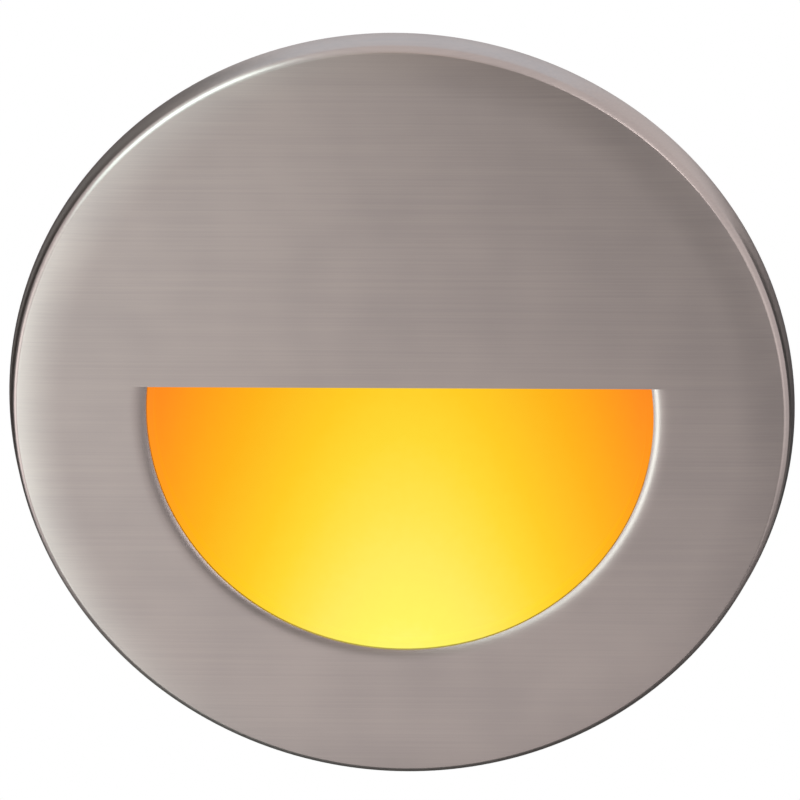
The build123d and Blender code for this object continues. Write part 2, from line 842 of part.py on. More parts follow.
# Parts on the driver board's back
parts_side = Plane(origin=(0, driver_back_y, 0), x_dir=(1, 0, 0), z_dir=(0, 1, 0))
transformer_point = (transformer_column, -transformer_row)
with BuildPart() as transformer_coil:
    with BuildSketch(parts_side.offset((core_height - coil_height) / 2)):
        with Locations(transformer_point):
            Circle(coil_radius)
        with Locations(transformer_point):
            Rectangle(core_leg, core_leg, mode=Mode.SUBTRACT)
    extrude(amount=coil_height)
save(transformer_coil, "transformer_coil")

window_length = 2 * coil_radius + seat_clearance
with BuildPart() as transformer_core:
    with BuildSketch(parts_side):
        with Locations(transformer_point):
            Rectangle(core_length, core_width)
    extrude(amount=core_height)
    with BuildSketch(parts_side.offset((core_height - coil_height) / 2)):
        with Locations(transformer_point):
            Rectangle(window_length, core_width)
        with Locations(transformer_point):
            Rectangle(core_leg, core_leg, mode=Mode.SUBTRACT)
    extrude(amount=coil_height, mode=Mode.SUBTRACT)
save(transformer_core, "transformer_core")

with BuildPart() as film_capacitor:
    with BuildSketch(parts_side):
        with Locations((film_column, -film_row)):
            RectangleRounded(film_length, film_width, film_width / 8)
    extrude(amount=film_height)
    fillet(film_capacitor.faces().sort_by(Axis.Y)[-1].edges(), film_width / 10)
save(film_capacitor, "film_capacitor")

with BuildPart() as bulk_capacitor:
    with BuildSketch(parts_side):
        with Locations((bulk_column, -bulk_row)):
            Circle(bulk_radius)
    extrude(amount=bulk_height)
    fillet(bulk_capacitor.edges().filter_by(GeomType.CIRCLE).sort_by(Axis.Y)[-1], bulk_radius / 6)
save(bulk_capacitor, "bulk_capacitor")

with BuildPart() as choke:
    with BuildSketch(parts_side):
        with Locations((choke_column, -choke_row)):
            Circle(choke_radius)
    extrude(amount=choke_height)
    with BuildSketch(parts_side.offset(choke_height / 5)):
        with Locations((choke_column, -choke_row)):
            Circle(choke_radius)
        with Locations((choke_column, -choke_row)):
            Circle(choke_waist, mode=Mode.SUBTRACT)
    extrude(amount=choke_height * 3 / 5, mode=Mode.SUBTRACT)
save(choke, "choke")

with BuildPart() as bridge_rectifier:
    with BuildSketch(parts_side):
        with Locations((rectifier_column, -rectifier_row)):
            Rectangle(rectifier_length, rectifier_width)
    extrude(amount=rectifier_height)
    chamfer(bridge_rectifier.faces().sort_by(Axis.Y)[-1].edges(), rectifier_height / 8)
save(bridge_rectifier, "bridge_rectifier")

with BuildPart() as fuse:
    with BuildSketch(parts_side):
        with Locations((fuse_column, -fuse_row)):
            Circle(fuse_radius)
    extrude(amount=fuse_height)
    fillet(fuse.edges().filter_by(GeomType.CIRCLE).sort_by(Axis.Y)[-1], fuse_radius / 5)
save(fuse, "fuse")

with BuildPart() as driver_chip:
    with BuildSketch(parts_side):
        with Locations((chip_column, -chip_row)):
            Rectangle(chip_length, chip_width)
    extrude(amount=chip_height)
    chamfer(driver_chip.faces().sort_by(Axis.Y)[-1].edges(), chip_height / 8)
save(driver_chip, "driver_chip")

# Terminal block for the supply, with a clamp screw and a wire port for each pole
terminal_row = terminal_depth / 2 + terminal_inset - driver_board_radius
terminal_points = [
    (terminal_pitch * (i - (terminal_count - 1) / 2), -terminal_row) for i in range(terminal_count)
]
with BuildPart() as terminal_block:
    with BuildSketch(parts_side):
        with Locations((0, -terminal_row)):
            Rectangle(terminal_pitch * terminal_count, terminal_depth)
    extrude(amount=terminal_height)
    with BuildSketch(parts_side.offset(terminal_height)):
        with Locations(*terminal_points):
            Circle(terminal_screw_radius + screw_hole_clearance)
    extrude(amount=-terminal_height / 2, mode=Mode.SUBTRACT)
    port_plane = Plane.XY.offset(terminal_row + terminal_depth / 2)
    with BuildSketch(port_plane):
        with Locations(*[(x, driver_back_y + terminal_height / 4) for x, _ in terminal_points]):
            Circle(wire_port_radius)
    extrude(amount=-terminal_depth * 3 / 4, mode=Mode.SUBTRACT)
save(terminal_block, "terminal_block")

with BuildPart() as terminal_screws:
    with BuildSketch(parts_side.offset(terminal_height / 2)):
        with Locations(*terminal_points):
            Circle(terminal_screw_radius)
    extrude(amount=terminal_screw_height)
    with BuildSketch(parts_side.offset(terminal_height / 2 + terminal_screw_height)):
        with Locations(*terminal_points):
            Rectangle(2 * terminal_screw_radius, terminal_screw_radius / 3)
    extrude(amount=-terminal_screw_height / 2, mode=Mode.SUBTRACT)
save(terminal_screws, "terminal_screws")

# Output socket on the front of the driver board, with the leads' way in
lead_columns = (lead_column - lead_spacing / 2, lead_column + lead_spacing / 2)
with BuildPart() as output_socket:
    with BuildSketch(level(driver_board_y)):
        with Locations((lead_column, lead_height)):
            Rectangle(socket_length, socket_width)
    extrude(amount=socket_height)
    with BuildSketch(level(driver_board_y - socket_height)):
        with Locations(*[(x, lead_height) for x in lead_columns]):
            Circle(lead_radius)
    extrude(amount=-socket_height / 2, mode=Mode.SUBTRACT)
save(output_socket, "output_socket")

# Lead sleeve through the scoop
sleeve_front_y = scoop_surface_y(lead_radius_from_axis + sleeve_radius) - sleeve_overhang
sleeve_back_y = scoop_surface_y(lead_radius_from_axis - sleeve_radius, scoop_wall) + sleeve_overhang
with BuildPart() as lead_sleeve:
    with BuildSketch(level(sleeve_back_y)):
        with Locations((lead_column, lead_height)):
            Circle(sleeve_radius)
        with Locations(*[(x, lead_height) for x in lead_columns]):
            Circle(lead_radius, mode=Mode.SUBTRACT)
    extrude(amount=sleeve_back_y - sleeve_front_y)
save(lead_sleeve, "lead_sleeve")

# LED leads: out of the socket, through the scoop, then down into the carrier
lead_start_y = driver_board_y - socket_height / 2
for x, colour in zip(lead_columns, ("red", "black")):
    with BuildPart() as led_lead:
        with BuildLine() as lead_path:
            FilletPolyline(
                (x, lead_start_y, lead_height),
                (x, lead_drop_y, lead_height),
                (x, lead_drop_y, lead_end),
                radius=lead_bend,
            )
        with BuildSketch(level(lead_start_y)):
            with Locations((x, lead_height)):
                Circle(lead_radius)
        sweep(path=lead_path.wires()[0])
    save(led_lead, f"led_lead_{colour}")

# Ground screw in the boss inside the rear cover
ground_screw_blank = screw_blank(m3_shank, ground_screw_bite, m3_head, m3_head_height)
with BuildPart() as ground_screw:
    with Locations(level(cover_front_y - ground_boss_height)):
        with Locations(ground_point):
            add(ground_screw_blank)
save(ground_screw, "ground_screw")
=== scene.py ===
# %% [markdown]
# # A round recessed step light in brushed nickel
# The light is one disc, 127 mm across, that lies flat on a wall. Its upper half is closed like an
# eyelid, and behind the half-round opening below it a shallow dish glows amber. The frame holds
# every solid of the light at its true size and place, so this script adds finishes, the finer
# shapes, the studio and the camera around it.

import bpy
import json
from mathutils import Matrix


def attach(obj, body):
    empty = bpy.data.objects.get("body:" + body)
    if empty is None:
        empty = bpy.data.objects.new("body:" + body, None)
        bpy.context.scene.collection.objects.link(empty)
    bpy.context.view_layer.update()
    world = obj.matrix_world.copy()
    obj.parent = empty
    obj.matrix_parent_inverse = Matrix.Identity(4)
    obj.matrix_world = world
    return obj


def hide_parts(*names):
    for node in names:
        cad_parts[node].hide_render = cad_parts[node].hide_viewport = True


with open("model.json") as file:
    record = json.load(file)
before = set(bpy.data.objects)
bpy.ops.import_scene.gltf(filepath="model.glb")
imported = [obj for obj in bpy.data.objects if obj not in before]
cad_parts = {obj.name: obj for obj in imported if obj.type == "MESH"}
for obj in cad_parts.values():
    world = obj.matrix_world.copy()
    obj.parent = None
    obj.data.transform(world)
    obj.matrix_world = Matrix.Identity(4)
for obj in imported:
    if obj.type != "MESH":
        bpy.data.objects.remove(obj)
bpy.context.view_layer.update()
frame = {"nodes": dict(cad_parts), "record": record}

# %%
import json
from math import cos, radians, sin

import bmesh
import bpy
from mathutils import Matrix, Quaternion, Vector

MM = 0.001
TOUCH = 0.001 * MM  # points that are nearer than this lie at the same place
WAVE = 0.31  # a wave texture of scale 1 repeats after this many metres

# %% [markdown]
# ## Colours and nodes
# Colours are written as sRGB hex values, as a paint chart gives them, and one function turns them
# into the linear numbers that the renderer works in. A finish is a small tree of nodes. Built by
# hand in the editor it would be dragged together, and here one function adds a node, sets it and
# links its inputs, so each finish reads from top to bottom.


# %% Colour and node helpers
def colour(code):
    """An sRGB hex value such as "9A918D" as linear red, green, blue and alpha."""
    parts = [int(code[i : i + 2], 16) / 255 for i in (0, 2, 4)]
    return [c / 12.92 if c <= 0.04045 else ((c + 0.055) / 1.055) ** 2.4 for c in parts] + [1]


def add(tree, kind, inputs=None, stops=(), **settings):
    """Adds a node with its settings, its inputs (sockets are linked) and its ramp's stops."""
    node = tree.nodes.new("ShaderNode" + kind)
    for name, value in settings.items():
        setattr(node, name, value)
    for name, value in (inputs or {}).items():
        if isinstance(value, bpy.types.NodeSocket):
            tree.links.new(value, node.inputs[name])
        else:
            node.inputs[name].default_value = value
    for index, (place, code) in enumerate(stops):
        band = node.color_ramp.elements
        stop = band[index] if index < len(band) else band.new(place)
        stop.position = place
        stop.color = colour(code)
    return node


def new_finish(name):
    """An empty material: the material, its tree and the object's own coordinates."""
    material = bpy.data.materials.new(name)
    material.use_nodes = True
    tree = material.node_tree
    tree.nodes.clear()
    return material, tree, add(tree, "TexCoord").outputs["Object"]


def dress(slot, material):
    """Gives a material to every node of the frame that has this slot in the record."""
    for part in frame["record"]["subparts"]:
        if part["material_slot"] == slot:
            frame["nodes"][part["node"]].material_slots[0].material = material
            print(material.name, "on", part["node"])


# %% [markdown]
# ## Brushed nickel
# The plate is cast, plated with satin nickel and brushed level from side to side on a belt. A belt
# leaves scratches a tenth of a millimetre wide and some tens of millimetres long. They could be an
# image, but noise that is stretched along X gives the same look at any distance. The scratches
# change the height and the roughness a little, and hardly the colour. Reflections spread across
# the scratches, which is what anisotropy is for.

# %% Brushed nickel
nickel, tree, place = new_finish("brushed_nickel_plate")
# Streaks 40 mm long, and 0.25 mm across on the face, as fine as the picture can show
stretch = add(tree, "Mapping", {"Vector": place, "Scale": (25, 1500, 4000)})
streaks = add(
    tree, "TexNoise", {"Vector": stretch.outputs["Vector"], "Scale": 1.0, "Detail": 3.0}
)
# Soft patches some 12 mm across, where the belt pressed harder
patches = add(tree, "TexNoise", {"Vector": place, "Scale": 80.0, "Detail": 1.0})
both = add(
    tree,
    "Math",
    {0: streaks.outputs["Fac"], 1: patches.outputs["Fac"]},
    operation="ADD",
)
tone = add(
    tree,
    "ValToRGB",
    {"Fac": add(tree, "Math", {0: both.outputs[0], 1: 0.5}, operation="MULTIPLY").outputs[0]},
    stops=[(0.36, "AB9E9B"), (0.64, "B4A6A2")],
)
rough = add(
    tree, "MapRange", {"Value": streaks.outputs["Fac"], "To Min": 0.30, "To Max": 0.38}
)
relief = add(
    tree,
    "Bump",
    {"Height": streaks.outputs["Fac"], "Strength": 1.0, "Distance": 0.0012 * MM},
)
across = add(tree, "Tangent", direction_type="RADIAL", axis="X")
shader = add(
    tree,
    "BsdfPrincipled",
    {
        "Base Color": tone.outputs["Color"],
        "Metallic": 1.0,
        "Roughness": rough.outputs["Result"],
        "Anisotropic": 0.65,
        "Normal": relief.outputs["Normal"],
        "Tangent": across.outputs["Tangent"],
    },
)
add(tree, "OutputMaterial", {"Surface": shader.outputs["BSDF"]})

# %% [markdown]
# ## The faceplate
# The plate is one casting. Its face is flat in the middle and rolls back near the edge, and the
# highlights along that roll and along the opening's lip are what the eye reads first. The frame's
# own plate has the same outline, but plainer rounds, and its facets show in those highlights. So
# half of the plate's section is drawn once and spun round the axis. A round opening is easy to
# spin, and the lip is drawn while it is still a full circle. The eyelid then closes its upper half.

# %% The section, spun into a ring
plate_radius = 63.5 * MM
side_radius = 62.6 * MM  # the side leans in by 0.9 mm towards the face
rim_wall = 3.2 * MM
front, rim_back, skin_back = -6.3 * MM, -0.8 * MM, -3.9 * MM
crown_width, crown_drop = 8.0 * MM, 0.4 * MM
opening_radius, eyelid_height = 40.9 * MM, 4.9 * MM
lip_width, lip_depth = 3.0 * MM, 0.45 * MM
edge_radius, back_edge_radius = 1.4 * MM, 0.15 * MM
flat_ring = 0.5 * MM  # a narrow flat ring keeps the crown's shading off the flat face
lip_steps, crown_steps, turn_steps = 24, 10, 256
crown_start = side_radius - crown_width

# The lip is steepest at the opening and reaches the face softly, as a cube does near zero. Its
# steps are closest together where it is steepest.
section = [(opening_radius, skin_back)]
for step in range(lip_steps + 1):
    share = (step / lip_steps) ** 1.5
    fall = lip_depth * (1 - share) ** 3
    section += [(opening_radius + lip_width * share, front + fall)]
section += [(crown_start - flat_ring, front)]
for step in range(crown_steps + 1):
    share = step / crown_steps
    section += [(crown_start + crown_width * share, front + crown_drop * share**2)]
section += [(plate_radius, rim_back), (plate_radius - rim_wall, rim_back)]
section += [(plate_radius - rim_wall, skin_back)]

mesh = bmesh.new()
points = [mesh.verts.new((radius, depth, 0)) for radius, depth in section]
for point, following in zip(points, points[1:] + points[:1]):
    mesh.edges.new((point, following))
bmesh.ops.spin(
    mesh,
    geom=mesh.verts[:] + mesh.edges[:],
    cent=(0, 0, 0),
    axis=(0, 1, 0),
    angle=radians(360),
    steps=turn_steps,
    use_merge=True,
)
bmesh.ops.remove_doubles(mesh, verts=mesh.verts, dist=TOUCH / 10)
bmesh.ops.recalc_face_normals(mesh, faces=mesh.faces)
print("ring:", len(mesh.faces), "faces")


# %% Rounded rings
def reach(vert):
    """Distance of a point from the plate's axis."""
    return Vector((vert.co.x, vert.co.z)).length


def round_ring(radius, depth, size, segments):
    """Bevels the circle of edges at a radius and a depth."""
    on_ring = {
        v for v in mesh.verts if abs(reach(v) - radius) < TOUCH and abs(v.co.y - depth) < TOUCH
    }
    bmesh.ops.bevel(
        mesh,
        geom=[e for e in mesh.edges if on_ring.issuperset(e.verts)],
        offset=size,
        segments=segments,
        profile=0.5,
        affect="EDGES",
        material=-1,
    )


# The edge turns through 75 degrees, so a bevel of 0.77 times the radius gives that radius
round_ring(side_radius, front + crown_drop, 0.77 * edge_radius, 8)
round_ring(plate_radius, rim_back, back_edge_radius, 2)
print("rounded:", len(mesh.faces), "faces")


# %% The eyelid
def mouth_faces():
    """The faces of the opening's wall and lip."""
    outer = opening_radius + 1.01 * lip_width
    near = [f for f in mesh.faces if max(reach(v) for v in f.verts) < outer]
    return [f for f in near if f.calc_center_median().y < skin_back - TOUCH]


# The upper half of the opening's wall goes, and a flat cap closes the hole in front and behind.
# The lip's outermost points are so nearly level with the face that only a fine test parts them.
wall = mouth_faces()
bmesh.ops.bisect_plane(
    mesh,
    geom=list({part for f in wall for part in (f, *f.verts, *f.edges)}),
    dist=TOUCH / 10,
    plane_co=(0, 0, eyelid_height),
    plane_no=(0, 0, 1),
)
upper = [f for f in mouth_faces() if f.calc_center_median().z > eyelid_height]
bmesh.ops.delete(mesh, geom=upper, context="FACES")
for depth in (front, skin_back):
    level = {v for v in mesh.verts if abs(v.co.y - depth) < TOUCH / 100}
    arc = [
        e
        for e in mesh.edges
        if e.is_boundary
        and level.issuperset(e.verts)
        and all(v.co.z > eyelid_height - TOUCH for v in e.verts)
    ]
    ends = {v for e in arc for v in e.verts if abs(v.co.z - eyelid_height) < TOUCH}
    line = bmesh.ops.contextual_create(mesh, geom=list(ends))["edges"]
    bmesh.ops.contextual_create(mesh, geom=arc + line)
bmesh.ops.contextual_create(mesh, geom=[e for e in mesh.edges if len(e.link_faces) < 2])
bmesh.ops.recalc_face_normals(mesh, faces=mesh.faces)
print("open edges left:", sum(not e.is_manifold for e in mesh.edges))


# %% A helper that finishes a mesh
def settle(mesh, name, material, body):
    """Turns a bmesh into a piece with smooth rounds and crisp edges that rides on a body."""
    for face in mesh.faces:
        face.smooth = True
    for edge in mesh.edges:
        edge.smooth = edge.calc_face_angle(0) < radians(30)
    data = bpy.data.meshes.new(name)
    mesh.to_mesh(data)
    mesh.free()
    piece = bpy.data.objects.new(name, data)
    bpy.context.scene.collection.objects.link(piece)
    data.materials.append(material)
    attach(piece, body)
    return piece


plate = settle(mesh, "brushed_plate", nickel, "light")
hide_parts("faceplate")

# %% [markdown]
# ## Holes in the plate
# Two small screws low in the rim grip the wall bracket, and blind holes in the back take the
# screws of the can and of the light engine. A Boolean modifier cuts them all with one mesh of
# cylinders. The cutter then goes, and the plate keeps the finished mesh.

# %% Cut the holes
set_hole_radius, set_hole_length = 1.3 * MM, 7 * MM
set_hole_reach, set_hole_depth = 62.0 * MM, -2.55 * MM  # its middle, from the axis and the wall
blind_radius, blind_depth = 0.82 * MM, 1.55 * MM
bite = 0.5 * MM  # a screw that ends this far inside the skin needs a hole
screw_gap = 4 * MM  # wider than a screw, and less than from one screw to the next
holes = bmesh.new()


def hole(radius, length, middle, way):
    """Adds a cylinder to the cutter: its middle and the way that it runs."""
    turn_to = Vector(way).to_track_quat("Z", "Y").to_matrix().to_4x4()
    bmesh.ops.create_cone(
        holes,
        cap_ends=True,
        segments=32,
        radius1=radius,
        radius2=radius,
        depth=length,
        matrix=Matrix.Translation(middle) @ turn_to,
    )


for angle in (radians(-120), radians(-60)):
    way = Vector((cos(angle), 0, sin(angle)))
    middle = set_hole_reach * way + Vector((0, set_hole_depth, 0))
    hole(set_hole_radius, set_hole_length, middle, way)
for name in ("housing_screws", "carrier_screws"):
    shanks = bmesh.new()
    shanks.from_mesh(frame["nodes"][name].data)
    tips = [v.co for v in shanks.verts if v.co.y < skin_back - bite]
    middles = []
    for tip in tips:
        if all((tip - middle).length > screw_gap for middle in middles):
            near = [co for co in tips if (co - tip).length < screw_gap]
            middles.append(sum(near, Vector()) / len(near))
    for middle in middles:
        hole(blind_radius, 2 * blind_depth, (middle.x, skin_back, middle.z), (0, 1, 0))
    shanks.free()
    print(name, "end in", len(middles), "blind holes")

cutter_data = bpy.data.meshes.new("cutter")
holes.to_mesh(cutter_data)
holes.free()
cutter = bpy.data.objects.new("cutter", cutter_data)
bpy.context.scene.collection.objects.link(cutter)
cut = plate.modifiers.new("holes", "BOOLEAN")
cut.operation = "DIFFERENCE"
cut.object = cutter
bpy.context.view_layer.update()
drilled = bpy.data.meshes.new_from_object(
    plate.evaluated_get(bpy.context.evaluated_depsgraph_get())
)
plate.modifiers.clear()
plate.data = drilled
bpy.data.objects.remove(cutter)
print("drilled plate:", len(drilled.polygons), "faces")

# %% [markdown]
# ## The lit scoop
# The dish behind the opening is white enamel, lit amber from above by the light engine. The light
# falls out of the middle of the eyelid as a fan, so the dish is yellow at the bottom and orange
# in the upper corners. Lamps inside the model could do it, but they are slow and grainy so near a
# surface. The glow is instead the dish's own emission, mixed from how far a point lies below the
# eyelid and how far it lies from the middle. The glow drowns the enamel's own sheen.

# %% Lit scoop
fan_radius, fan_reach = 25 * MM, 46 * MM
glow, tree, place = new_finish("amber_lit_enamel")
axes = add(tree, "SeparateXYZ", {"Vector": place})
# Dimmest under the eyelid's edge and brightest at the bottom of the opening
fall = add(
    tree,
    "MapRange",
    {
        "Value": axes.outputs["Z"],
        "From Min": eyelid_height,
        "From Max": -opening_radius,
        "To Min": 0.60,
        "To Max": 0.98,
    },
)
# The fan's middle is round and its flanks are straight: the length of (X, fan_radius)
fan = add(tree, "CombineXYZ", {"X": axes.outputs["X"], "Y": fan_radius})
flank = add(tree, "VectorMath", {0: fan.outputs["Vector"]}, operation="LENGTH")
dimming = add(
    tree,
    "MapRange",
    {
        "Value": flank.outputs["Value"],
        "From Min": fan_radius,
        "From Max": fan_reach,
        "To Max": 0.52,
    },
)
level_of_light = add(
    tree,
    "Math",
    {0: fall.outputs["Result"], 1: dimming.outputs["Result"]},
    operation="SUBTRACT",
)
# Faint specks of 1.5 mm, as of an enamel that isn't quite even
specks = add(tree, "TexNoise", {"Vector": place, "Scale": 650.0, "Detail": 2.0})
speckle = add(
    tree, "MapRange", {"Value": specks.outputs["Fac"], "To Min": -0.012, "To Max": 0.012}
)
level_of_light = add(
    tree, "Math", {0: level_of_light.outputs[0], 1: speckle.outputs["Result"]}, operation="ADD"
)
amber = add(
    tree,
    "ValToRGB",
    {"Fac": level_of_light.outputs[0]},
    stops=[
        (0.0, "FB8220"),
        (0.12, "FF901D"),
        (0.25, "FFA018"),
        (0.42, "FEB417"),
        (0.52, "FEC01F"),
        (0.62, "FFCC23"),
        (0.72, "FED933"),
        (0.81, "FFE34B"),
        (0.88, "FFEB5E"),
        (0.95, "FEF463"),
        (1.0, "FEFA77"),
    ],
)
shader = add(
    tree,
    "BsdfPrincipled",
    {
        "Base Color": colour("120C04"),
        "Roughness": 0.6,
        "Specular IOR Level": 0.05,
        "Emission Color": amber.outputs["Color"],
        "Emission Strength": 1.0,
    },
)
add(tree, "OutputMaterial", {"Surface": shader.outputs["BSDF"]})
dress("lit_scoop", glow)

# %% [markdown]
# ## Cast, moulded and drawn surfaces
# Everything behind the plate is a plain trade finish: die castings, moulded plastics and rubbers,
# small screws. Up close they differ in three things: how far the colour wanders, how coarse the
# grain is and how deep. One function builds such a finish from those numbers, and each finish
# below is a line of a table. A separate tree for each would repeat the same nodes twenty times.


# %% Grained finishes
def grained(name, dark, pale, grain, depth, roughness, **sockets):
    """A surface whose colour wanders from dark to pale; its grain and depth are in mm."""
    material, tree, place = new_finish(name)
    clouds = add(tree, "TexNoise", {"Vector": place, "Scale": 0.1 / (grain * MM), "Detail": 2.0})
    tone = add(
        tree, "ValToRGB", {"Fac": clouds.outputs["Fac"]}, stops=[(0.35, dark), (0.65, pale)]
    )
    grains = add(tree, "TexNoise", {"Vector": place, "Scale": 1 / (grain * MM), "Detail": 3.0})
    rough = add(
        tree,
        "MapRange",
        {
            "Value": grains.outputs["Fac"],
            "From Min": 0.3,
            "From Max": 0.7,
            "To Min": roughness - 0.05,
            "To Max": roughness + 0.05,
        },
    )
    bumps = add(
        tree,
        "Bump",
        {"Height": grains.outputs["Fac"], "Strength": 1.0, "Distance": depth * MM},
    )
    shader = add(
        tree,
        "BsdfPrincipled",
        {
            "Base Color": tone.outputs["Color"],
            "Roughness": rough.outputs["Result"],
            "Normal": bumps.outputs["Normal"],
        },
    )
    for socket, value in sockets.items():
        shader.inputs[socket.replace("_", " ")].default_value = value
    add(tree, "OutputMaterial", {"Surface": shader.outputs["BSDF"]})
    return material


# %% Metals: the castings have an orange-peel skin, the screws are drawn and tumbled bright
dress(
    "cast_aluminium",
    grained("die_cast_aluminium", "8D9092", "A3A6A8", 0.9, 0.05, 0.46, Metallic=1.0),
)
dress(
    "stainless_steel",
    grained("tumbled_stainless", "A5A29E", "BDBAB5", 0.3, 0.006, 0.26, Metallic=1.0),
)
dress(
    "black_steel",
    grained("black_oxide_steel", "1C1C1E", "2A2A2C", 0.3, 0.008, 0.42, Metallic=0.6),
)
dress(
    "green_screw",
    grained("green_passivated_steel", "1E6B38", "2E8248", 0.3, 0.006, 0.34, Metallic=0.8),
)

# %% Rubbers: soft, a little dusty and slow to shine
dress("seal_silicone", grained("moulded_silicone", "7C3526", "8A3F2E", 0.5, 0.01, 0.55))
dress("grommet_rubber", grained("moulded_rubber", "1B1B1B", "272727", 0.4, 0.015, 0.7))
dress("lead_red", grained("red_pvc_insulation", "A81A14", "BC2620", 0.4, 0.006, 0.38))
dress("lead_black", grained("black_pvc_insulation", "161616", "222222", 0.4, 0.006, 0.38))

# %% Moulded plastics: a spark-eroded mould leaves a fine matt grain
dress("gland_nylon", grained("black_moulded_nylon", "1D1E20", "292A2C", 0.35, 0.02, 0.5))
dress("terminal_green", grained("green_moulded_nylon", "1F6B40", "2B7C4E", 0.35, 0.015, 0.45))
dress("white_nylon", grained("white_moulded_nylon", "DEDBD1", "E9E6DD", 0.35, 0.015, 0.45))
dress("black_epoxy", grained("moulded_epoxy", "202020", "2C2C2C", 0.25, 0.02, 0.6))
dress("film_yellow", grained("yellow_moulded_box", "C7901E", "D6A02C", 0.4, 0.008, 0.3))
dress("fuse_brown", grained("brown_moulded_cap", "3B2016", "4A2A1E", 0.4, 0.008, 0.3))
dress("capacitor_sleeve", grained("shrunk_vinyl_sleeve", "12172A", "1C233A", 0.6, 0.01, 0.22))

# %% Ceramics and boards: fired and pressed powders are matt, solder mask is a thin gloss
dress("led_ceramic", grained("white_ceramic", "DCD8CC", "E8E5DB", 0.2, 0.004, 0.5))
dress("ferrite", grained("sintered_ferrite", "2C2B2D", "3A393B", 0.15, 0.01, 0.62))
dress("white_board", grained("white_solder_mask", "E4E4DF", "EEEEEA", 0.5, 0.004, 0.32))

# %% [markdown]
# ## Foam, zinc, milled aluminium, glass weave and tape
# Five finishes carry a pattern that plain grain can't give. The foam shows cut cells, the zinc
# bracket a faint spangle and a yellow-blue tint, the carrier the arcs of a milling cutter, the
# driver board the weave of its glass cloth under green mask, and the coil the turns of its tape.

# %% Closed-cell foam
foam, tree, place = new_finish("closed_cell_foam")
# Cells of 0.4 mm, cut open at the strip's edge
cells = add(tree, "TexVoronoi", {"Vector": place, "Scale": 1 / (0.4 * MM)})
tone = add(
    tree, "ValToRGB", {"Fac": cells.outputs["Distance"]}, stops=[(0.1, "0E0E0E"), (0.6, "2B2B2B")]
)
pits = add(
    tree, "Bump", {"Height": cells.outputs["Distance"], "Strength": 1.0, "Distance": 0.08 * MM}
)
shader = add(
    tree,
    "BsdfPrincipled",
    {
        "Base Color": tone.outputs["Color"],
        "Roughness": 0.9,
        "Normal": pits.outputs["Normal"],
    },
)
add(tree, "OutputMaterial", {"Surface": shader.outputs["BSDF"]})
dress("gasket_foam", foam)

# %% Zinc plated sheet
zinc, tree, place = new_finish("zinc_plated_sheet")
# Crystals of 2.5 mm, each a shade off its neighbours, under a thin passivation
crystals = add(tree, "TexVoronoi", {"Vector": place, "Scale": 1 / (2.5 * MM)})
shade = add(tree, "SeparateColor", {"Color": crystals.outputs["Color"]})
spangle = add(
    tree, "ValToRGB", {"Fac": shade.outputs["Red"]}, stops=[(0.0, "A3A7AC"), (1.0, "B9BDC2")]
)
wander = add(tree, "TexNoise", {"Vector": place, "Scale": 60.0, "Detail": 2.0})
tint = add(
    tree,
    "ValToRGB",
    {"Fac": wander.outputs["Fac"]},
    stops=[(0.3, "C9D2E0"), (0.5, "FFFFFF"), (0.7, "F2E6C8")],
)
film = add(
    tree,
    "Mix",
    {0: 1.0, 6: spangle.outputs["Color"], 7: tint.outputs["Color"]},
    data_type="RGBA",
    blend_type="MULTIPLY",
)
rough = add(
    tree, "MapRange", {"Value": shade.outputs["Green"], "To Min": 0.28, "To Max": 0.42}
)
shader = add(
    tree,
    "BsdfPrincipled",
    {"Base Color": film.outputs[2], "Metallic": 1.0, "Roughness": rough.outputs["Result"]},
)
add(tree, "OutputMaterial", {"Surface": shader.outputs["BSDF"]})
dress("zinc_steel", zinc)

# %% Milled aluminium
milled, tree, place = new_finish("milled_aluminium")
# A face cutter leaves arcs 0.5 mm apart
arcs = add(
    tree,
    "TexWave",
    {"Vector": place, "Scale": WAVE / (0.5 * MM), "Distortion": 1.2, "Detail": 1.0},
    wave_type="RINGS",
    rings_direction="SPHERICAL",
)
tone = add(
    tree, "ValToRGB", {"Fac": arcs.outputs["Fac"]}, stops=[(0.0, "BFC2C4"), (1.0, "CDD0D2")]
)
cuts = add(
    tree, "Bump", {"Height": arcs.outputs["Fac"], "Strength": 1.0, "Distance": 0.004 * MM}
)
shader = add(
    tree,
    "BsdfPrincipled",
    {
        "Base Color": tone.outputs["Color"],
        "Metallic": 1.0,
        "Roughness": 0.3,
        "Normal": cuts.outputs["Normal"],
    },
)
add(tree, "OutputMaterial", {"Surface": shader.outputs["BSDF"]})
dress("machined_aluminium", milled)

# %% Glass-cloth board
board, tree, place = new_finish("green_solder_mask")
# Glass threads 0.5 mm apart, across and along
weave = []
for direction in ("X", "Z"):
    weave.append(
        add(
            tree,
            "TexWave",
            {"Vector": place, "Scale": WAVE / (0.5 * MM)},
            bands_direction=direction,
        )
    )
cloth = add(
    tree,
    "Math",
    {0: weave[0].outputs["Fac"], 1: weave[1].outputs["Fac"]},
    operation="MULTIPLY",
)
tone = add(tree, "ValToRGB", {"Fac": cloth.outputs[0]}, stops=[(0.0, "0F4A2A"), (1.0, "1A5E38")])
cloth_bumps = add(
    tree, "Bump", {"Height": cloth.outputs[0], "Strength": 1.0, "Distance": 0.004 * MM}
)
shader = add(
    tree,
    "BsdfPrincipled",
    {
        "Base Color": tone.outputs["Color"],
        "Roughness": 0.3,
        "Normal": cloth_bumps.outputs["Normal"],
    },
)
add(tree, "OutputMaterial", {"Surface": shader.outputs["BSDF"]})
dress("green_board", board)

# %% Polyester tape over the coil
tape, tree, place = new_finish("polyester_tape")
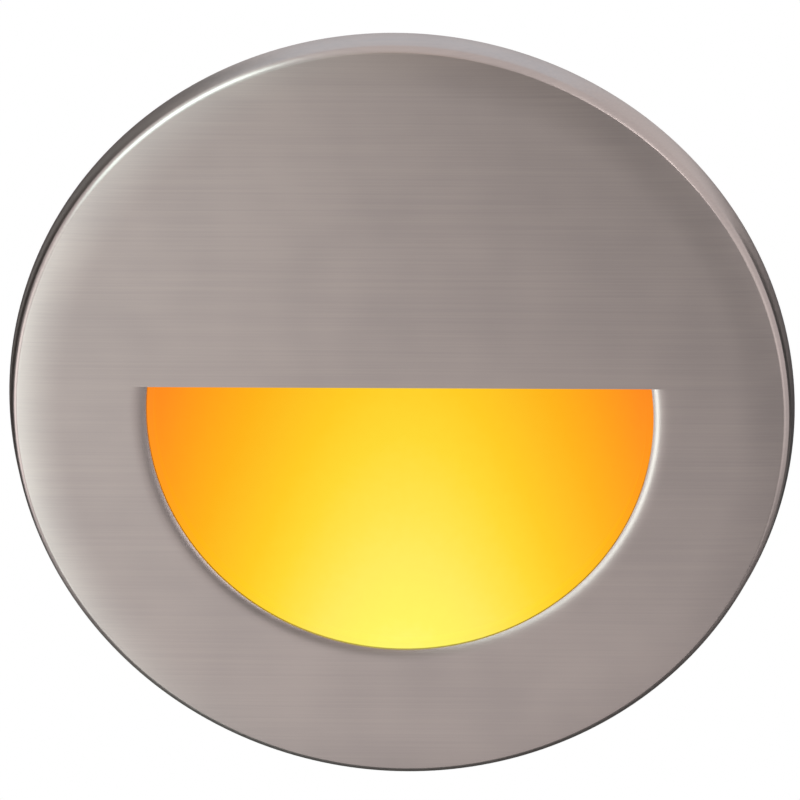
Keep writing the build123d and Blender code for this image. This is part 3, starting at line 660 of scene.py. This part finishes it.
# Each turn of wire under the tape is 0.4 mm high, along the coil's axis
turns = add(
    tree,
    "TexWave",
    {"Vector": place, "Scale": WAVE / (0.4 * MM), "Distortion": 0.4},
    bands_direction="Y",
)
tone = add(
    tree, "ValToRGB", {"Fac": turns.outputs["Fac"]}, stops=[(0.0, "B9861A"), (1.0, "D8A42C")]
)
ridges = add(
    tree, "Bump", {"Height": turns.outputs["Fac"], "Strength": 1.0, "Distance": 0.03 * MM}
)
shader = add(
    tree,
    "BsdfPrincipled",
    {
        "Base Color": tone.outputs["Color"],
        "Roughness": 0.25,
        "Normal": ridges.outputs["Normal"],
    },
)
add(tree, "OutputMaterial", {"Surface": shader.outputs["BSDF"]})
dress("coil_tape", tape)

# %% [markdown]
# ## Lit lens and domes
# The lens is frosted polycarbonate over three amber LEDs, so it glows brightest over each one.
# It can't be seen from the front, but it shows from below. Emission that depends on the distance
# to the nearest LED gives those three soft spots.

# %% Lit lens and domes
led_pitch = 6.5 * MM
lens, tree, place = new_finish("lit_frosted_polycarbonate")
axes = add(tree, "SeparateXYZ", {"Vector": place})
# X wrapped to one LED's stretch: 0 over an LED, half the pitch between two
wrapped = add(
    tree,
    "Math",
    {0: axes.outputs["X"], 1: led_pitch / 2},
    operation="PINGPONG",
)
spot = add(
    tree,
    "ValToRGB",
    {
        "Fac": add(
            tree,
            "MapRange",
            {"Value": wrapped.outputs[0], "From Max": led_pitch / 2},
        ).outputs["Result"]
    },
    stops=[(0.0, "FFF3B0"), (0.5, "FFDC6A"), (1.0, "FFC23A")],
)
frost = add(tree, "TexNoise", {"Vector": place, "Scale": 1 / (0.2 * MM), "Detail": 2.0})
frost_bumps = add(
    tree, "Bump", {"Height": frost.outputs["Fac"], "Strength": 1.0, "Distance": 0.01 * MM}
)
shader = add(
    tree,
    "BsdfPrincipled",
    {
        "Base Color": colour("5A4A2A"),
        "Roughness": 0.5,
        "IOR": 1.58,
        "Emission Color": spot.outputs["Color"],
        "Emission Strength": 1.0,
        "Normal": frost_bumps.outputs["Normal"],
    },
)
add(tree, "OutputMaterial", {"Surface": shader.outputs["BSDF"]})
dress("lit_lens", lens)

dome = grained("lit_silicone_dome", "8A6420", "9A7228", 0.3, 0.002, 0.12, IOR=1.41)
dome.node_tree.nodes["Principled BSDF"].inputs["Emission Color"].default_value = colour("FFD35A")
dome.node_tree.nodes["Principled BSDF"].inputs["Emission Strength"].default_value = 1.0
dress("lit_dome", dome)

# %% [markdown]
# ## Studio
# The light hangs at its height on the wall, a metre above a pale floor. The floor and the world
# are white where the camera or a reflection sees them and plainer where they light the object.
# A metal shows only what it reflects, so five cards stand in for the darker parts of a room: one
# in front, that darkens the face to the right, and four beside, behind and under the plate, that
# give its rim and its rear their dark parts. Seven lamps in front light the face and its rounds,
# and one behind lights the can.


# %% White where it is seen
def seen(tree):
    """1 on rays from the camera, from a reflection and through glass, 0 on light's own rays."""
    paths = add(tree, "LightPath")
    sight = add(
        tree,
        "Math",
        {0: paths.outputs["Is Camera Ray"], 1: paths.outputs["Is Glossy Ray"]},
        operation="MAXIMUM",
    )
    return add(
        tree,
        "Math",
        {0: sight.outputs[0], 1: paths.outputs["Is Transmission Ray"]},
        operation="MAXIMUM",
    ).outputs[0]


# %% Floor
ground = bmesh.new()
bmesh.ops.create_grid(
    ground, x_segments=1, y_segments=1, size=4, matrix=Matrix.Translation((0, 0, -1.0))
)
floor_data = bpy.data.meshes.new("studio_floor")
ground.to_mesh(floor_data)
ground.free()
floor = bpy.data.objects.new("studio_floor", floor_data)
bpy.context.scene.collection.objects.link(floor)
paper, tree, place = new_finish("studio_paper")
matte = add(tree, "BsdfDiffuse", {"Color": colour("EDEDED")})
plain = add(tree, "Emission", {"Color": colour("FFFFFF"), "Strength": 1.0})
mixed = add(
    tree,
    "MixShader",
    {"Fac": seen(tree), 1: matte.outputs["BSDF"], 2: plain.outputs["Emission"]},
)
add(tree, "OutputMaterial", {"Surface": mixed.outputs["Shader"]})
floor_data.materials.append(paper)

# %% World
world = bpy.data.worlds.new("studio")
bpy.context.scene.world = world
world.use_nodes = True
tree = world.node_tree
tree.nodes.clear()
soft = add(tree, "Background", {"Color": colour("FFFFFF"), "Strength": 0.75})
white = add(tree, "Background", {"Color": colour("FFFFFF"), "Strength": 1.0})
sky = add(
    tree,
    "MixShader",
    {"Fac": seen(tree), 1: soft.outputs["Background"], 2: white.outputs["Background"]},
)
add(tree, "OutputWorld", {"Surface": sky.outputs["Shader"]})


# %% Cards
def card(name, code, middle, way, width, height, roll=0.0):
    """A matt card that faces a way. The camera doesn't see it, but reflections do."""
    sheet = bmesh.new()
    pose = Vector(way).to_track_quat("Z", "Y") @ Quaternion((0, 0, 1), radians(roll))
    bmesh.ops.create_grid(sheet, x_segments=1, y_segments=1, size=0.5)
    bmesh.ops.scale(sheet, vec=(width, height, 1), verts=sheet.verts)
    bmesh.ops.transform(
        sheet,
        matrix=Matrix.Translation(middle) @ pose.to_matrix().to_4x4(),
        verts=sheet.verts,
    )
    data = bpy.data.meshes.new(name)
    sheet.to_mesh(data)
    sheet.free()
    piece = bpy.data.objects.new(name, data)
    bpy.context.scene.collection.objects.link(piece)
    piece.visible_camera = False
    finish, tree, place = new_finish(name + "_paint")
    flat = add(tree, "BsdfDiffuse", {"Color": colour(code)})
    add(tree, "OutputMaterial", {"Surface": flat.outputs["BSDF"]})
    data.materials.append(finish)
    print(name, "of", width, "by", height, "m")


card("front_card", "989898", (0.10, -0.35, 0.0), (0, 1, 0.3), 0.9, 0.24, roll=45)
card("left_card", "4A4442", (-0.47, 0.31, 0.0), (0, -1, 0), 0.66, 0.56)
card("back_card", "555555", (0.0, 0.32, -0.27), (0, -1, 0), 1.2, 0.62)
card("under_card", "6A6A6A", (0.0, 0.025, -0.35), (0, 0, 1), 1.1, 0.65)
card("side_card", "3A3A3A", (-0.62, 0.10, -0.30), (1, 0, 0), 0.44, 0.60)

# %% Lamps
lamps = {
    # name: place, width, height, watts and tint; each one looks at the plate's middle
    "left": ((-0.50, -0.30, 0.44), 0.35, 0.50, 2.6, "D0F4F0"),
    "low_left": ((-0.28, -0.51, -0.21), 0.13, 0.50, 0.72, "DCF4F0"),
    "up_left": ((-0.11, -0.35, 0.10), 0.08, 0.10, 0.09, "D8F4F0"),
    "far_left": ((-0.55, -0.20, -0.22), 0.30, 0.40, 0.60, "FFFFFF"),
    "top": ((-0.02, -0.33, 0.14), 0.12, 0.20, 0.03, "FFDCC0"),
    "right": ((0.17, -0.32, 0.06), 0.10, 0.10, 0.14, "FFFFFF"),
    "low_right": ((0.31, -0.29, -0.15), 0.26, 0.35, 0.24, "FFFFFF"),
    "behind": ((-0.05, 0.62, 0.52), 0.90, 0.30, 0.30, "40CCFF"),
}
for name, (spot, width, height, watts, tint) in lamps.items():
    light = bpy.data.lights.new(name, "AREA")
    light.shape = "RECTANGLE"
    light.size = width
    light.size_y = height
    light.energy = watts
    light.color = colour(tint)[:3]
    lamp = bpy.data.objects.new(name, light)
    lamp.location = spot
    lamp.visible_camera = False
    lamp.rotation_mode = "QUATERNION"
    lamp.rotation_quaternion = Vector(spot).to_track_quat("Z", "Y")
    bpy.context.scene.collection.objects.link(lamp)
print(len(lamps), "lamps")

# %% [markdown]
# ## Camera
# The picture was taken with a long lens, a little from the right and 21 degrees from above. The
# plate's outline there is an ellipse, and its width, height and lean give these numbers.

# %% Camera
camera_turn = 3.7  # degrees to the right of straight ahead
camera_rise = 21.35  # degrees above the horizon
camera_roll = -1.08  # degrees about the line of sight
frame_width = 129.15 * MM  # what the picture's width spans at the plate
aim_right, aim_up = -0.25 * MM, 0.365 * MM  # the picture's middle, from the plate's own
lens_length, sensor = 450.0, 36.0
turn, rise = radians(camera_turn), radians(camera_rise)
towards = Vector((sin(turn) * cos(rise), -cos(turn) * cos(rise), sin(rise)))
distance = frame_width * lens_length / sensor
camera_data = bpy.data.cameras.new("camera")
camera_data.lens = lens_length
camera_data.sensor_width = sensor
camera_data.clip_end = 20
camera = bpy.data.objects.new("camera", camera_data)
camera.rotation_mode = "QUATERNION"
camera.rotation_quaternion = towards.to_track_quat("Z", "Y") @ Quaternion(
    (0, 0, 1), radians(camera_roll)
)
aim = camera.rotation_quaternion @ Vector((aim_right, aim_up, 0))
camera.location = aim + towards * distance
bpy.context.scene.collection.objects.link(camera)
bpy.context.scene.camera = camera
bpy.context.scene.view_settings.view_transform = "Standard"
print("camera", round(distance, 3), "m away")
